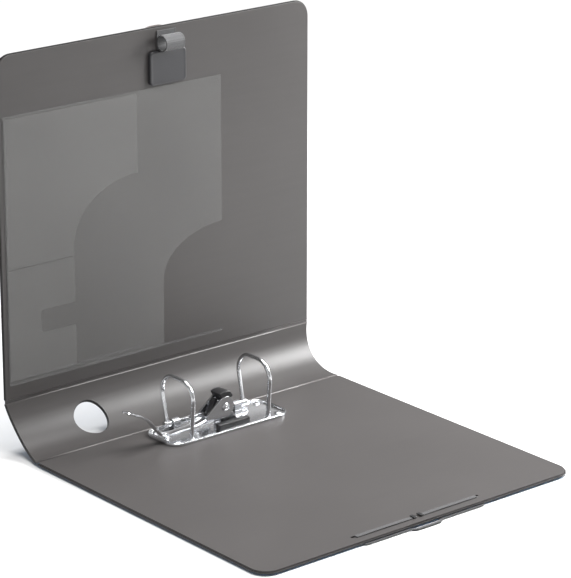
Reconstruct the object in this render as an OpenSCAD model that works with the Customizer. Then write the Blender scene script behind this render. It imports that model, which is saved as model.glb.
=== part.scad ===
// Lever arch file, drawn lying open on its back cover.
// X runs from the back crease (0) to the fore edge (+), Y from the foot of the file to its head,
// and Z up from the table. Lengths are in millimetres and angles in degrees.

/* [Covers] */
// Height of the file, foot to head
file_h = 318; // [280:1:340]
// Depth of a cover, crease to fore edge
cover_d = 286; // [240:1:310]
// Thickness of the closed file, outside to outside
file_t = 60; // [54:0.5:80]
// Thickness of the coloured outer sheet of a panel
skin_t = 1.0; // [0.6:0.1:1.6]
// Thickness of the grey lining of a panel
liner_t = 1.2; // [0.6:0.1:2]
// Radius of the corners at the fore edge
corner_r = 15; // [6:1:30]
// How far the lining stops short of the outer sheet's edges
liner_inset = 1.0; // [0.5:0.1:3]

/* [Spine] */
// Half of the angle that the curved spine turns through
spine_half = 43; // [36:0.5:44.5]
// Depth of the hollow cut into each end of the spine
spine_cut = 4.5; // [2:0.1:8]
// Diameter of the finger hole
hole_d = 30; // [20:0.5:34]
// Height of the finger hole's centre above the foot
hole_y = 75; // [50:1:110]

/* [Creases] */
// Distance from a crease's axis to the edge of a panel
crease_gap = 1.8; // [1.7:0.05:2.5]
// Diameter of the round bead that stands for the flexible crease
crease_d = 2.2; // [1.6:0.05:2.4]
// Angle of the spine's chord above the table with the file lying open
spine_open = 137; // [134:0.5:150]

/* [Rings] */
// Spacing of the two rings, the two-hole filing standard
ring_pitch = 80; // [70:1:90]
// Distance of the rings' middle above the middle of the file
ring_shift = 5; // [0:0.5:10]
// Diameter of the arch wire
wire_d = 3.4; // [2.8:0.1:4]
// Diameter of a fixed post
post_d = 3.8; // [3:0.1:4.4]
// Distance from the arch shaft to the foot of the posts
ring_depth = 33; // [30:0.5:36]
// Height of the arch's wire centre above the lining at its crown
arch_h = 49; // [44:0.5:49.5]
// Height of a fixed post above the lining
post_h = 32.6; // [28:0.2:34]
// Outward lean of a fixed post
post_lean = 4; // [0:0.5:6]
// Outward lean of the arch's leg
leg_lean = 11.7; // [8:0.1:14]
// Bend radius of the arch's two shoulders
arch_r = 15; // [12:0.5:15.5]

/* [Mechanism plate] */
// Length of the plate
plate_l = 124; // [116:1:136]
// Thickness of the plate's sheet
plate_t = 1.0; // [0.8:0.1:1.4]
// Corner radius of the plate
plate_r = 12; // [6:0.5:16]
// Height of the rolled rim above the lining
rim_h = 2.6; // [2:0.1:3.2]
// Width of the rolled rim
rim_w = 1.6; // [1.2:0.1:2]
// Distance from the back crease to the plate
plate_x = 4.5; // [3.5:0.5:7]

/* [Arch shaft] */
// Diameter of the arch shaft
shaft_d = 4; // [3.4:0.1:4.6]
// Radial clearance of the shaft in its bearings
bearing_play = 0.05; // [0.02:0.01:0.1]
// Height of the shaft's axis above the lining
shaft_z = 5; // [4.6:0.1:6]
// Distance of the crank bar from the shaft's axis
crank_r = 11; // [9:0.5:12]
// Angle of the crank above the plate with the rings shut
crank_lift = 10; // [6:1:14]

/* [Lever] */
// Height of the lever's pivot above the lining
pivot_z = 17.5; // [16.5:0.5:19]
// Diameter of the pivot rivet's shank
pivot_d = 4; // [3:0.1:5]
// Radial clearance of the lever on its rivet
pivot_play = 0.05; // [0.02:0.01:0.1]
// Radius of the lever's round cheeks
hub_r = 9; // [8:0.5:10]
// Width of the lever's arm
arm_w = 7.6; // [6:0.2:8]
// Thickness of the lever's steel
lever_t = 1.6; // [1.2:0.1:2]
// Reach of the lever's tongue beyond its pivot
lever_reach = 101; // [95:1:110]
// Diameter of the roller
roller_d = 6; // [5:0.1:6.2]

/* [Closure] */
// Distance of the elastic's slots from the fore edge
slot_in = 11; // [9:0.5:14]
// Spacing of the two outer slots
slot_pitch = 124; // [110:1:130]
// Width of the elastic strip
band_w = 5; // [4:0.1:6]
// Thickness of the elastic strip
band_t = 0.7; // [0.5:0.05:0.8]
// Size of the closure button across the file
button_x = 38; // [36:0.5:42]
// Size of the closure button along the fore edge
button_y = 43; // [38:0.5:50]

/* [Label] */
// Width of the label card, measured round the spine
label_w = 32; // [26:0.5:36]
// Length of the label card
label_l = 110; // [80:1:130]
// Distance from the card to the head of the file
label_top = 34; // [26:1:40]

/* [Hidden] */
$fn = 48;

eps = 0.01;
face_gap = 0.3;               // running gap between faces of pieces that move past each other
sheet_t = skin_t + liner_t;
foot_z = 1.0;                 // the rivet heads lift the back cover this far off the table
lining_z = foot_z + sheet_t;  // upper face of the back cover's lining
crease_z = foot_z + sheet_t/2;
mid_y = file_h/2;

// The spine is a shell round an axis parallel to Y. Its chord joins the two creases.
spine_l = file_t - sheet_t;
spine_r = spine_l/2/sin(spine_half);
chord_dx = cos(spine_open);
chord_dz = sin(spine_open);
front_x = spine_l*chord_dx;
front_z = crease_z + spine_l*chord_dz;
out_dx = -chord_dz;           // unit vector from the chord towards the spine's outside
out_dz = chord_dx;
axis_x = front_x/2 - out_dx*spine_r*cos(spine_half);
axis_z = (crease_z + front_z)/2 - out_dz*spine_r*cos(spine_half);
spine_ro = spine_r + sheet_t/2;
spine_rs = spine_ro - skin_t;
spine_ri = spine_r - sheet_t/2;
end_trim = 2*asin(crease_gap/2/spine_r);
cut_r = (pow(spine_l/2, 2) + pow(spine_cut, 2))/2/spine_cut;

// Rings and their shaft
ring_y = mid_y + ring_shift;
plate_top = lining_z + plate_t;
bearing_wall = 1.6;
post_flange = 1.1;            // how far a post's foot flange stands out round it
shaft_x = plate_x + rim_w + face_gap + shaft_d/2 + bearing_wall;
axis_h = lining_z + shaft_z;
post_x = shaft_x + ring_depth;
plate_w = post_x + post_d/2 + post_flange + face_gap + rim_w - plate_x;
wire_r = wire_d/2;
crown_z = lining_z + arch_h;
shoulder_z = crown_z - arch_r;
// The shoulders are tangent to the leaning leg and to the leaning post.
tip_cx = post_x + (shoulder_z - plate_top)*tan(post_lean) - arch_r/cos(post_lean);
leg_cx = shaft_x - (shoulder_z - axis_h)*tan(leg_lean) + arch_r/cos(leg_lean);
leg_len = (shoulder_z - axis_h)/cos(leg_lean) + arch_r*tan(leg_lean);
tip_cut = shoulder_z - arch_r*sin(post_lean);

// The lever turns in a plane parallel to the file's height.
pivot_y = ring_y + 1;
pivot_h = lining_z + pivot_z;
cheek_x0 = shaft_x + 12.8;
cheek_gap = 9.6;
cheek_x1 = cheek_x0 + lever_t + cheek_gap;
bracket_t = 1.4;
side_gap = 0.4;
arm_x = cheek_x1 - arm_w;
crank_y = ring_y - 18;
crank_d = wire_d;
bar_x = shaft_x + crank_r*cos(crank_lift);
bar_z = axis_h + crank_r*sin(crank_lift);
roller_y = pivot_y - 8.5;
roller_z = bar_z + crank_d/2 + roller_d/2 + face_gap;
roller_w = 4.4;
roller_x = cheek_x0 - face_gap - roller_w;
pin_d = 2.4;
head_h = 1.1;

// The elastic loop swings round the fore edge between its place by the edge and the button.
fore_x = cover_d;
cover_top = foot_z + file_t;
stem_h = 2;
flange_h = 2.2;
flange_lip = 2;
button_cx = fore_x - button_x/2;
loop_z = 0.12;
loop_in = 0.4;
loop_far = fore_x - button_x + flange_lip - loop_in;
loop_axis_x = fore_x - 17;
loop_axis_z = (loop_z + band_t/2 + cover_top + 0.3 + band_t/2)/2;
loop_half = 16;
leg_w = 1.4;
leg_x = fore_x + 0.4;

steel = [0.82, 0.83, 0.84];
black = [0.09, 0.09, 0.10];
blue = [0.29, 0.55, 0.80];
taupe = [0.36, 0.35, 0.34];

// ---------- shared shapes ----------

module rounded_rect(x0, y0, x1, y1, r) {
    hull() {
        translate([x0 + r, y0 + r]) circle(r);
        translate([x1 - r, y0 + r]) circle(r);
        translate([x1 - r, y1 - r]) circle(r);
        translate([x0 + r, y1 - r]) circle(r);
    }
}

// A cover's outline: square at the crease, round at the fore edge.
module cover_outline(inset) {
    r = corner_r - inset;
    translate([crease_gap, inset]) square([cover_d - crease_gap - inset - r, file_h - 2*inset]);
    translate([cover_d - inset - r - eps, inset + r]) square([r + eps, file_h - 2*inset - 2*r]);
    translate([cover_d - inset - r, inset + r]) circle(r, $fn = 96);
    translate([cover_d - inset - r, file_h - inset - r]) circle(r, $fn = 96);
}

// Turns a panel drawn flat, as the back cover lies, into the upright front cover.
// The panel's inner face, which was up, faces +X.
module stand_cover() {
    translate([front_x, 0, front_z]) rotate([0, -90, 0]) mirror([0, 0, 1]) children();
}

// A rod between two points
module rod(a, b, d) {
    v = b - a;
    l = norm(v);
    translate(a) rotate([0, acos(v[2]/l), atan2(v[1], v[0])]) cylinder(d = d, h = l);
}

// A rod along Y, or along X
module rod_y(x, y0, y1, z, d) {
    translate([x, y0, z]) rotate([-90, 0, 0]) cylinder(d = d, h = y1 - y0);
}

module rod_x(x0, x1, y, z, d) {
    translate([x0, y, z]) rotate([0, 90, 0]) cylinder(d = d, h = x1 - x0);
}

// A slot outline with round ends, along Y
module slot_outline(x, y0, y1, w) {
    translate([x - w/2, y0 + w/2]) square([w, y1 - y0 - w]);
    translate([x, y0 + w/2]) circle(d = w);
    translate([x, y1 - w/2]) circle(d = w);
}

// ---------- back cover ----------

module elastic_slots() {
    for (s = [-1, 1]) {
        y = mid_y + s*slot_pitch/2;
        translate([fore_x - slot_in - 1.2, y - band_w/2 - 0.5, foot_z - 1])
            cube([2.4, band_w + 1, sheet_t + 2]);
    }
}

module rivet_spots() {
    for (dx = [7, plate_w - 8], s = [-1, 1])
        translate([plate_x + dx, ring_y + s*(plate_l/2 - 9), 0]) children();
}

module back_skin() {
    color(blue) difference() {
        translate([0, 0, foot_z]) linear_extrude(skin_t) cover_outline(0);
        elastic_slots();
        rivet_spots() cylinder(d = rivet_d + 0.1, h = 10);
    }
}

module back_liner() {
    color(taupe) difference() {
        translate([0, 0, foot_z + skin_t]) linear_extrude(liner_t) cover_outline(liner_inset);
        elastic_slots();
        rivet_spots() cylinder(d = rivet_d + 0.1, h = 10);
    }
}

module back_crease() {
    color(taupe) rod_y(0, 0.5, file_h - 0.5, crease_z, crease_d);
}

// ---------- mechanism ----------

rivet_d = 3.2;

module plate_outline(inset) {
    rounded_rect(plate_x + inset, ring_y - plate_l/2 + inset,
                 plate_x + plate_w - inset, ring_y + plate_l/2 - inset, plate_r - inset);
}

module base_plate() {
    color(steel) difference() {
        union() {
            translate([0, 0, lining_z]) linear_extrude(plate_t) plate_outline(0);
            translate([0, 0, lining_z]) linear_extrude(rim_h) difference() {
                plate_outline(0);
                plate_outline(rim_w);
            }
        }
        rivet_spots() cylinder(d = rivet_d + 0.1, h = 20);
    }
}

module plate_rivets() {
    color(steel) rivet_spots() {
        cylinder(d = 8, h = foot_z);
        translate([0, 0, foot_z - eps]) cylinder(d = rivet_d, h = plate_top - foot_z + 2*eps);
        translate([0, 0, plate_top]) cylinder(d1 = 6.4, d2 = 4.6, h = 0.9);
    }
}

module post(y) {
    color(steel) translate([post_x, y, plate_top]) intersection() {
        rotate([0, post_lean, 0]) translate([0, 0, -2]) {
            cylinder(d = post_d, h = post_h + 6);
            cylinder(d = post_d + 2*post_flange, h = 3);
        }
        translate([-10, -10, 0]) cube([30, 20, tip_cut - face_gap - plate_top]);
    }
}

module post_foot() {
    post(ring_y - ring_pitch/2);
}

module post_head() {
    post(ring_y + ring_pitch/2);
}

// A pressed bearing with a round top and square feet
module bearing(y) {
    w = 7;
    color(steel) difference() {
        union() {
            rod_y(shaft_x, y - w/2, y + w/2, axis_h, shaft_d + 2*bearing_wall);
            translate([shaft_x - shaft_d/2 - bearing_wall, y - w/2, plate_top])
                cube([shaft_d + 2*bearing_wall, w, axis_h - plate_top]);
        }
        rod_y(shaft_x, y - w, y + w, axis_h, shaft_d + 2*bearing_play);
    }
}

bearing_in = 8;

module bearing_foot() {
    bearing(ring_y - ring_pitch/2 + bearing_in);
}

module bearing_head() {
    bearing(ring_y + ring_pitch/2 - bearing_in);
}

bracket_x0 = cheek_x0 + lever_t + side_gap;
bracket_x1 = cheek_x1 - side_gap - bracket_t;
bracket_y0 = pivot_y - 4;
bracket_y1 = pivot_y + 13;

module bracket_cheek(x) {
    translate([x, 0, 0]) rotate([90, 0, 90]) linear_extrude(bracket_t) {
        translate([pivot_y, pivot_h]) circle(4.6);
        polygon([[bracket_y0, plate_top], [bracket_y1, plate_top], [bracket_y1, plate_top + 4],
                 [pivot_y + 3.6, pivot_h + 2.8], [pivot_y, pivot_h], [bracket_y0, pivot_h - 2]]);
    }
}

module lever_bracket() {
    color(steel) difference() {
        union() {
            bracket_cheek(bracket_x0);
            bracket_cheek(bracket_x1);
            translate([bracket_x0, bracket_y0, plate_top])
                cube([bracket_x1 + bracket_t - bracket_x0, bracket_y1 - bracket_y0, 1.2]);
        }
        rod_x(bracket_x0 - 1, bracket_x1 + 4, pivot_y, pivot_h, pivot_d);
    }
}

module pivot_rivet() {
    x0 = cheek_x0 - 0.25;
    x1 = cheek_x1 + lever_t + 0.25;
    color(steel) {
        rod_x(x0, x1, pivot_y, pivot_h, pivot_d);
        translate([x1, pivot_y, pivot_h]) rotate([0, 90, 0]) cylinder(d1 = 7, d2 = 4.8, h = head_h);
        translate([x0, pivot_y, pivot_h]) rotate([0, -90, 0]) cylinder(d1 = 6, d2 = 4.4, h = 0.9);
    }
}

block_x0 = cheek_x1 + lever_t + 1.4;
block_w = min(5.6, plate_x + plate_w - rim_w - face_gap - block_x0);
block_h = 5.2;

module stop_block() {
    color(black) translate([0, 0, plate_top]) linear_extrude(block_h)
        rounded_rect(block_x0, pivot_y - 12, block_x0 + block_w, pivot_y + 21, 1.6);
}

spring_y = ring_y + 18;
spring_wire = 1.0;

module return_spring() {
    coil_r = shaft_d/2 + 0.4 + spring_wire/2;
    color(steel) for (i = [0:4])
        translate([shaft_x, spring_y + i*(spring_wire + 0.02), axis_h]) rotate([90, 0, 0])
            rotate_extrude($fn = 48) translate([coil_r, 0]) circle(d = spring_wire, $fn = 24);
}

// ---------- elastic closure on the back cover ----------

// The inner stretches run from an anchored end near mid-height to a slot.
stretch_in = 5;

module inner_elastic() {
    color(black) for (s = [-1, 1]) {
        y0 = mid_y + s*stretch_in;
        y1 = mid_y + s*slot_pitch/2;
        translate([fore_x - slot_in - band_t/2 - 0.4, min(y0, y1), lining_z])
            cube([band_w*0.8, abs(y1 - y0), band_t]);
    }
}

module elastic_ends() {
    color(black) for (s = [-1, 1]) {
        y = mid_y + s*stretch_in;
        translate([fore_x - slot_in - band_t/2 - 1.1, y - (s < 0 ? 0 : 3), lining_z + band_t])
            cube([band_w*0.8 + 1.4, 3, 0.8]);
    }
}

// From each slot a leg runs under the cover to the fore edge and along it to the loop.
module band_legs() {
    color(black) for (s = [-1, 1]) {
        y_slot = mid_y + s*slot_pitch/2;
        y_loop = mid_y + s*loop_half;
        translate([fore_x - slot_in - 0.8, y_slot - band_w/2 + (s > 0 ? band_w - leg_w : 0), loop_z])
            cube([leg_x + leg_w + 0.8 - fore_x + slot_in, leg_w, band_t]);
        translate([leg_x, min(y_slot + s*band_w/2, y_loop), loop_z])
            cube([leg_w, abs(y_slot + s*band_w/2 - y_loop), band_t]);
    }
}

// The loop, drawn beside the fore edge. Half a turn about its axis lays it behind the button.
loop_x = 2*loop_axis_x - loop_far;

module band_loop() {
    color(black) translate([loop_x, mid_y - loop_half, loop_z])
        cube([3, 2*loop_half, band_t]);
}

// ---------- spine ----------

// A sector of a ring about the spine's axis, from angle a0 to a1 either side of its middle
module spine_sector(r0, r1, a0, a1, y0, y1) {
    reach = 2*spine_ro;
    translate([axis_x, y0, axis_z]) rotate([90, 0, 0]) mirror([0, 0, 1])
        linear_extrude(y1 - y0) rotate(spine_open + 90) intersection() {
            difference() {
                circle(r1, $fn = 180);
                circle(r0, $fn = 180);
            }
            polygon([[0, 0], [reach*cos(a0), reach*sin(a0)], [reach*cos(a1), reach*sin(a1)]]);
        }
}

// Everything cut from the spine: the finger hole and the hollow ends
module spine_cuts(grow) {
    translate([front_x/2, 0, (crease_z + front_z)/2]) rotate([0, 180 - spine_open, 0]) {
        translate([0, hole_y, -spine_ro]) cylinder(d = hole_d + 2*grow, h = 2*spine_ro);
        translate([0, spine_cut + grow - cut_r, -spine_ro])
            cylinder(r = cut_r, h = 2*spine_ro, $fn = 240);
        translate([0, file_h - spine_cut - grow + cut_r, -spine_ro])
            cylinder(r = cut_r, h = 2*spine_ro, $fn = 240);
    }
}

module spine_skin() {
    a = spine_half - end_trim;
    color(blue) difference() {
        spine_sector(spine_rs, spine_ro, -a, a, 0, file_h);
        spine_cuts(0);
    }
}

module spine_liner() {
    a = spine_half - end_trim;
    color(taupe) difference() {
        spine_sector(spine_ri, spine_rs, -a, a, 0, file_h);
        spine_cuts(liner_inset*0.6);
    }
}

module front_crease() {
    color(taupe) rod_y(front_x, 0.5, file_h - 0.5, front_z, crease_d);
}

// The card lies in a clear pocket with a welded border, open at the head.
film_t = 0.3;
card_t = 0.4;
card_in = spine_ro + face_gap;
film_in = card_in + card_t + face_gap;
border = 2.2;
card_y1 = file_h - label_top;
card_y0 = card_y1 - label_l;

module label_holder() {
    a = label_w/2/spine_ro*180/PI;
    b = a + 0.5 + border/spine_ro*180/PI;
    color([0.85, 0.9, 0.95]) {
        spine_sector(film_in, film_in + film_t, -b, b, card_y0 - border - 0.5, card_y1 + 1);
        spine_sector(spine_ro, film_in + eps, a + 0.5, b, card_y0 - border - 0.5, card_y1 + 1);
        spine_sector(spine_ro, film_in + eps, -b, -a - 0.5, card_y0 - border - 0.5, card_y1 + 1);
        spine_sector(spine_ro, film_in + eps, -b, b, card_y0 - border - 0.5, card_y0 - 0.5);
    }
}

module label_card() {
    a = label_w/2/spine_ro*180/PI;
    color("white") spine_sector(card_in, card_in + card_t, -a, a, card_y0, card_y1);
}

// ---------- front cover ----------

module front_skin() {
    color(blue) stand_cover() translate([0, 0, -sheet_t/2]) linear_extrude(skin_t)
        cover_outline(0);
}

module front_liner() {
    color(taupe) stand_cover() translate([0, 0, skin_t - sheet_t/2]) linear_extrude(liner_t)
        cover_outline(liner_inset);
}

// Both pockets are clear sheets in the cover's own plane, measured from the front crease.
pocket_t = 0.3;
pocket_low = 13;
pocket_high = cover_d - 50;
pocket_side = 5;

module sheet_on_cover(level, thick) {
    stand_cover() translate([0, 0, sheet_t/2 + level]) linear_extrude(thick) children();
}

module large_pocket() {
    y_mid = file_h/2 + 2;
    y_far = y_mid + 62;
    u_cut = 70;
    color([0.5, 0.5, 0.5]) sheet_on_cover(0, pocket_t) difference() {
        translate([pocket_low, pocket_side]) square([pocket_high - pocket_low, y_far - pocket_side]);
        translate([u_cut, y_far]) scale([40/62, 1]) circle(62, $fn = 96);
        translate([0, y_mid]) square([u_cut, 100]);
    }
}

module small_pocket() {
    y_mid = 71;
    y_far = y_mid + 65;
    u_cut = 118;
    color([0.6, 0.6, 0.6]) sheet_on_cover(pocket_t, pocket_t) difference() {
        translate([pocket_low + 4, pocket_side + 1])
            square([pocket_high - pocket_low - 6, y_far - pocket_side - 1]);
        translate([u_cut, y_far]) scale([50/65, 1]) circle(65, $fn = 96);
        translate([0, y_mid]) square([u_cut, 100]);
        rounded_rect(52, 37, 71, y_mid + 4, 2.5);
        translate([109.5, pocket_side]) square([1.2, y_mid - pocket_side - 2]);
    }
}

pen_y = mid_y + 8;
pad_t = 3.2;
pad_u0 = cover_d - 48;
pad_u1 = cover_d - 20;
ribbon_t = 0.8;
ribbon_w = 19;
pen_d = 12;

module pen_pad() {
    color([0.45, 0.45, 0.46]) sheet_on_cover(0, pad_t)
        rounded_rect(pad_u0, pen_y - 18.5, pad_u1, pen_y + 18.5, 3.5);
}

// A flat ribbon loop that stands off the lining, wide enough for a pen
module pen_loop() {
    u0 = pad_u1 + 0.3;
    loop_r = pen_d/2 + ribbon_t;
    color([0.62, 0.62, 0.63]) stand_cover() translate([0, pen_y + ribbon_w/2, sheet_t/2])
        rotate([90, 0, 0]) linear_extrude(ribbon_w) difference() {
            union() {
                translate([u0 + loop_r, loop_r]) circle(loop_r);
                translate([u0, 0]) square([2*loop_r + 2.6, ribbon_t]);
                translate([u0, 0]) square([loop_r, ribbon_t*1.4]);
            }
            translate([u0 + loop_r, loop_r]) circle(pen_d/2);
        }
}

// ---------- closure button ----------

module oval(w, h) {
    // four arcs: two ends and two long sides, joined as a hull of circles
    hull() {
        translate([0, (h - w)/2]) circle(d = w, $fn = 32);
        translate([0, -(h - w)/2]) circle(d = w, $fn = 32);
    }
}

grip_x = 20;
grip_y = 27;

module closure_button() {
    color([0.5, 0.43, 0.4]) stand_cover()
        translate([button_cx, mid_y, -sheet_t/2]) mirror([0, 0, 1]) difference() {
            union() {
                linear_extrude(stem_h) oval(button_x - 2*flange_lip, button_y - 2*flange_lip);
                translate([0, 0, stem_h - eps]) linear_extrude(flange_h) oval(button_x, button_y);
            }
            translate([0, 0, -1]) linear_extrude(stem_h + flange_h + 2) oval(grip_x, grip_y);
        }
}

// ---------- arches ----------

module arch_shaft() {
    end = ring_pitch/2 + 3.2;
    color(steel) {
        rod_y(shaft_x, ring_y - end, ring_y + end, axis_h, shaft_d);
        rod([shaft_x, crank_y, axis_h], [bar_x, crank_y, bar_z], crank_d - 0.6);
        rod_y(bar_x, crank_y - crank_d/2, pivot_y - 5.4, bar_z, crank_d);
    }
}

// One arch: a leaning leg, a shoulder, a short crown and a shoulder that ends over the post.
// The straight stretches are a hair thinner than the bends that they run into.
straight_d = wire_d - 0.04;
bite = 0.06;

module bend(x, from, to) {
    translate([x, 0, shoulder_z]) rotate([90, 0, 0]) rotate([0, 0, from])
        rotate_extrude(angle = to - from, $fn = 96) translate([arch_r, 0]) circle(wire_r, $fn = 32);
}

module arch(y) {
    color(steel) translate([0, y, 0]) {
        translate([shaft_x, 0, axis_h]) rotate([0, -leg_lean, 0])
            translate([0, 0, shaft_d/2 - 0.6])
                cylinder(d = straight_d, h = leg_len - shaft_d/2 + 0.6 + bite);
        bend(leg_cx, 90, 180 - leg_lean);
        translate([leg_cx - bite, 0, crown_z]) rotate([0, 90, 0])
            cylinder(d = straight_d, h = tip_cx - leg_cx + 2*bite);
        bend(tip_cx, -post_lean, 90);
    }
}

module arch_foot() {
    arch(ring_y - ring_pitch/2);
}

module arch_head() {
    arch(ring_y + ring_pitch/2);
}

// ---------- lever ----------

// Side outline of a cheek: a round hub with a tail towards the arm, in (y, z) from the pivot
tail_y = -19;
tail_z = -6.2;
web_y = 4.9;

module cheek(x) {
    translate([x, pivot_y, pivot_h]) rotate([90, 0, 90]) linear_extrude(lever_t) difference() {
        union() {
            circle(hub_r, $fn = 96);
            polygon([[-6.4, 6.3], [-3, -8.4], [tail_y, tail_z - lever_t], [tail_y, tail_z + 2.4]]);
        }
        circle(d = pivot_d + 2*pivot_play);
    }
}

module lever_cheeks() {
    color(steel) {
        cheek(cheek_x0);
        cheek(cheek_x1);
        // the web joins the two cheeks over the arm's root
        translate([cheek_x0, pivot_y + tail_y, pivot_h + tail_z])
            cube([cheek_x1 + lever_t - cheek_x0, web_y, lever_t]);
    }
}

// Side outline of the arm's centre line from the pivot, in (y, z)
arm_path = [[tail_y + 2, tail_z - 0.8], [-30, -10.6], [-56, -11.6], [-64, -9.8],
            [-76, 5], [-82, 9.6], [-lever_reach, 18.6]];

module arm_bar(i) {
    a = arm_path[i];
    b = arm_path[i + 1];
    hull() {
        translate(a) circle(d = lever_t, $fn = 24);
        translate(b) circle(d = lever_t, $fn = 24);
    }
}

module lever_arm() {
    color(steel) translate([arm_x, pivot_y, pivot_h]) rotate([90, 0, 90])
        linear_extrude(arm_w) {
            for (i = [0:len(arm_path) - 2]) arm_bar(i);
        }
}

inner_x = bracket_x0 + bracket_t + side_gap;
inner_w = bracket_x1 - side_gap - inner_x;

// A wedge of a ring in the lever's plane, between two angles measured from the head's direction
module ring_wedge(r0, r1, a0, a1, x, w) {
    far = 2*r1;
    translate([x, pivot_y, pivot_h]) rotate([90, 0, 90]) linear_extrude(w) intersection() {
        difference() {
            circle(r1, $fn = 96);
            circle(r0, $fn = 96);
        }
        polygon([[0, 0], [far*cos(a0), far*sin(a0)], [far*cos(a1), far*sin(a1)]]);
    }
}

// The cap sits on both cheeks, and its nose runs down between them.
cap_t = 4.5;

module lever_cap() {
    color(black) {
        ring_wedge(hub_r + 2*eps, hub_r + cap_t, 62, 116, cheek_x0, cheek_x1 + lever_t - cheek_x0);
        ring_wedge(pivot_d/2 + 3, hub_r + cap_t - 0.5, 30, 116, inner_x, inner_w);
    }
}

module lever_pad() {
    color(black) translate([inner_x, pivot_y, pivot_h]) rotate([90, 0, 90])
        linear_extrude(inner_w) polygon([[-14.6, -7.5], [-12.2, -8.8], [-4.8, 7], [-7.6, 8.6]]);
}

module roller_pin() {
    color(steel) {
        rod_x(roller_x - 0.3, cheek_x0, roller_y, roller_z, pin_d);
        rod_x(roller_x - 1.1, roller_x - 0.3, roller_y, roller_z, pin_d + 1.4);
    }
}

module roller() {
    color([0.75, 0.76, 0.78]) difference() {
        rod_x(roller_x, roller_x + roller_w, roller_y, roller_z, roller_d);
        rod_x(roller_x - 1, roller_x + roller_w + 1, roller_y, roller_z, pin_d + 0.1);
    }
}

back_skin();
back_liner();
back_crease();
base_plate();
plate_rivets();
post_foot();
post_head();
bearing_foot();
bearing_head();
lever_bracket();
pivot_rivet();
stop_block();
return_spring();
inner_elastic();
elastic_ends();
band_legs();
spine_skin();
spine_liner();
front_crease();
label_holder();
label_card();
front_skin();
front_liner();
large_pocket();
small_pocket();
pen_pad();
pen_loop();
closure_button();
arch_shaft();
arch_foot();
arch_head();
lever_cheeks();
lever_arm();
lever_cap();
lever_pad();
roller_pin();
roller();
band_loop();
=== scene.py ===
"""A lever arch file lying open on its back cover: its visible pieces, their finishes and a plain studio."""
import math

import bmesh
import bpy
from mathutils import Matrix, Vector


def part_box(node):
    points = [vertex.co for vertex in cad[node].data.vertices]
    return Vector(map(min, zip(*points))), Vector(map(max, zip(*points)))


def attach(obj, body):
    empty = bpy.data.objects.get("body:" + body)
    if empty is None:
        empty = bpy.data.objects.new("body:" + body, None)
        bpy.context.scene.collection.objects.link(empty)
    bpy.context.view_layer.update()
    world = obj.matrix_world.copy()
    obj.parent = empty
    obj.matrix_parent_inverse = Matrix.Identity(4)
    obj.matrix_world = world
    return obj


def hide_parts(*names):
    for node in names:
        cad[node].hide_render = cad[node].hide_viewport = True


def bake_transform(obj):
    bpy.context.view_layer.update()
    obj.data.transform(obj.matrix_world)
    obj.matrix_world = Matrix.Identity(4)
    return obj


bl_info = {
    "name": "Lever Arch File",
    "version": (1, 0, 0),
    "blender": (4, 5, 0),
    "location": "3D View > Sidebar > Lever Arch File",
    "description": "Makes the visible pieces and finishes of an open lever arch file",
    "category": "Add Mesh",
}

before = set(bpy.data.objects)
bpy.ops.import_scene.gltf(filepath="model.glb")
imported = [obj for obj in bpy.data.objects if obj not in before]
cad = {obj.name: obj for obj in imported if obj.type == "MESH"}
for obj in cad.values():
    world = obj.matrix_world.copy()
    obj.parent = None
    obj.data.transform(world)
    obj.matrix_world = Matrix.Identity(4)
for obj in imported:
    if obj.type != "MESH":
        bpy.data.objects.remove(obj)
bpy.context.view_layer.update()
MM = 0.001

# The file's own sizes in millimetres, as the frame has them
FILE_H = 318.0
COVER_D = 286.0
MID_Y = FILE_H / 2
SHEET = 2.2
LINING_Z = 3.2
CREASE_Z = 2.1
CHORD = 137.0
FRONT_X = -42.2722
FRONT_Z = 41.5195
SPINE_R = 42.375
SPINE_AXIS_Z = CREASE_Z + SPINE_R
RING_Y = (124.0, 204.0)
PLATE_TOP = 4.2
SHAFT_X = 10.0
SHAFT_Z = 8.2
POST_X = 43.0
POST_LEAN = math.radians(4)
LEG_LEAN = math.radians(11.7)
CROWN_Z = 52.2
ARCH_BEND = 15.0
WIRE_R = 1.7
PIVOT_Y = 165.0
PIVOT_Z = 20.7
CARD_Y = (174.0, 284.0)
PEN_LOOP_Y = MID_Y + 8
CRANK_Y = 146.0
CRANK_X = 20.833
CRANK_Z = 10.11
ROLLER_Y = 156.5
LEVER_X = 30.2
POST_TOP = 35.85
ELASTIC_X = 287.1
ELASTIC_Z = 0.5
ELASTIC_THICK = 0.74


def mm(*values):
    """A point given in millimetres."""
    return Vector(values) * MM


def on_cover(u, y, w):
    """A point of the upright cover: u from the front crease, y from the foot, w towards the inside."""
    return mm(FRONT_X + w, y, FRONT_Z + u)


def on_post(y, z):
    """A point at height z on the leaning axis of the ring post at y."""
    return mm(POST_X + (z - PLATE_TOP) * math.tan(POST_LEAN), y, z)


# ---------- sizes and colours ----------

def length_property(name, description, default, low, high):
    """A length that a user can change."""
    return bpy.props.FloatProperty(name=name, description=description, default=default, min=low,
                                   max=high, unit="LENGTH", precision=5)


def colour_property(name, description, default):
    """A colour that a user can change."""
    return bpy.props.FloatVectorProperty(name=name, description=description, default=default,
                                         size=3, min=0.0, max=1.0, subtype="COLOR")


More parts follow.
